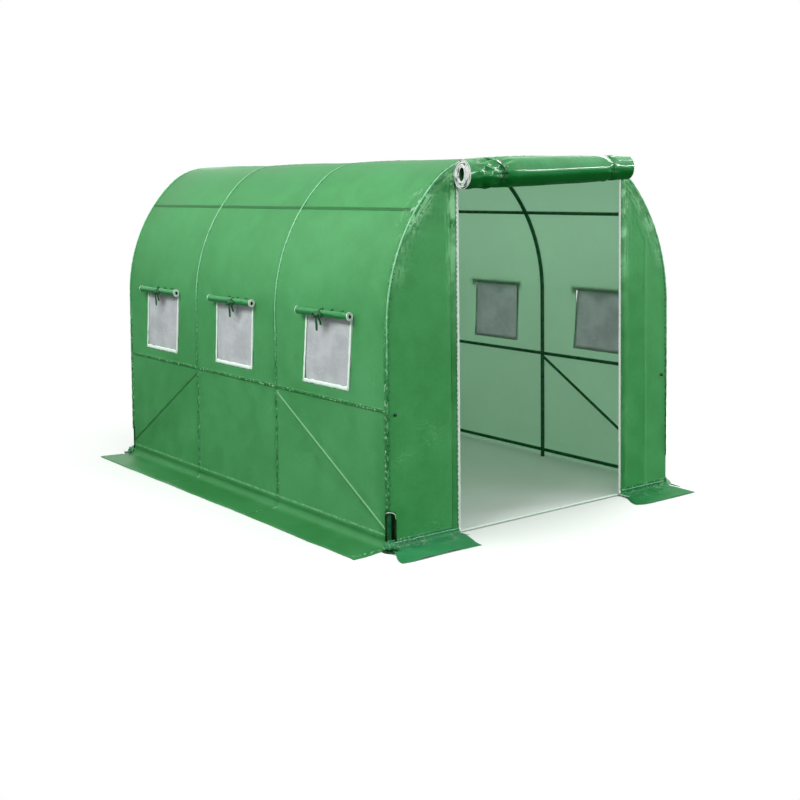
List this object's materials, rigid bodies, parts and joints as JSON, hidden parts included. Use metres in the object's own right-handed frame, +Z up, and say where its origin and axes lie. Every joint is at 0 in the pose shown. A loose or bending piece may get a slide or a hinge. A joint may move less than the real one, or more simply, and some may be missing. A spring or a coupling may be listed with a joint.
{
  "type": "polytunnel greenhouse",
  "caption": "Walk-in polytunnel greenhouse: bent tube arches under a green film cover, with mesh windows along both sides, ground flaps and a rolled-up door in the front wall.",
  "frame": {"origin": "on the ground, at the middle of the tunnel", "axes": "+Z up, Y along the tunnel with the doorway facing -Y, X across it"},
  "size_m": [2.6366, 3.4866, 2.0388],
  "materials": {
    "cover_film": "woven coated film, satin",
    "frame_tube": "satin paint",
    "insect_mesh": "fine mesh",
    "zip_band": "woven tape"
  },
  "bodies": {
    "root": {"arch_front": "frame_tube", "arch_front_middle": "frame_tube", "arch_rear_middle": "frame_tube", "arch_back": "frame_tube", "ridge_purlin": "frame_tube", "ground_rail_back": "frame_tube", "sill_front": "frame_tube", "shoulder_purlin_left": "frame_tube", "shoulder_purlin_right": "frame_tube", "waist_purlin_left": "frame_tube", "waist_purlin_right": "frame_tube", "ground_rail_left": "frame_tube", "ground_rail_right": "frame_tube", "brace_front_left": "frame_tube", "brace_front_right": "frame_tube", "brace_back_left": "frame_tube", "brace_back_right": "frame_tube", "front_panel_top": "cover_film", "back_panel": "cover_film", "door_roll": "cover_film", "skirt_back": "cover_film", "side_cover_left": "cover_film", "side_cover_right": "cover_film", "roof_cover_left": "cover_film", "roof_cover_right": "cover_film", "front_panel_left": "cover_film", "front_panel_right": "cover_film", "skirt_left": "cover_film", "skirt_right": "cover_film", "skirt_front_left": "cover_film", "skirt_front_right": "cover_film", "window_roll_left_front": "cover_film", "window_roll_left_middle": "cover_film", "window_roll_left_rear": "cover_film", "window_roll_right_front": "cover_film", "window_roll_right_middle": "cover_film", "window_roll_right_rear": "cover_film", "window_mesh_left_front": "insect_mesh", "window_mesh_left_middle": "insect_mesh", "window_mesh_left_rear": "insect_mesh", "window_mesh_right_front": "insect_mesh", "window_mesh_right_middle": "insect_mesh", "window_mesh_right_rear": "insect_mesh", "door_zip_left": "zip_band", "door_zip_right": "zip_band"}
  },
  "joints": []
}
